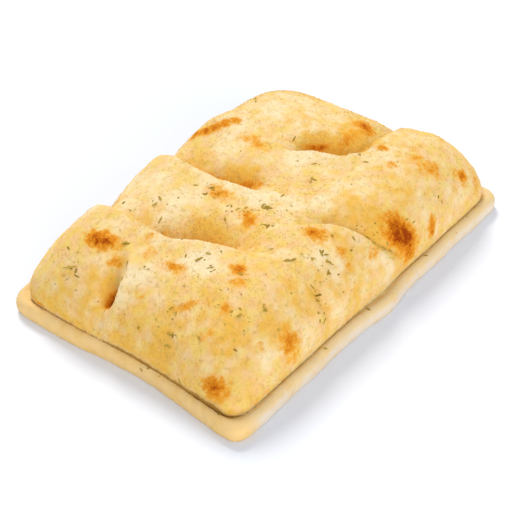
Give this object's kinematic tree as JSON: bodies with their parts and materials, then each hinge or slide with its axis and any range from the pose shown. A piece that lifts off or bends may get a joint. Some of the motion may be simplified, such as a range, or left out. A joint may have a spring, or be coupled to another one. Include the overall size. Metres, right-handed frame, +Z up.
{
  "type": "rosemary focaccia",
  "caption": "Rectangular focaccia with a low flat rim, a crease all round and a puffed golden top pressed with finger furrows and strewn with dried rosemary.",
  "frame": {"origin": "middle of the flat underside, under the middle of the loaf's box", "axes": "+X along the loaf's long side, +Y across it, +Z up through the puffed top"},
  "size_m": [0.154, 0.1055, 0.0335],
  "materials": {
    "crust": "dry baked crust, pale gold with browned spots",
    "rosemary": "dried grey-green needles"
  },
  "bodies": {
    "root": {"focaccia": "crust"}
  },
  "joints": []
}
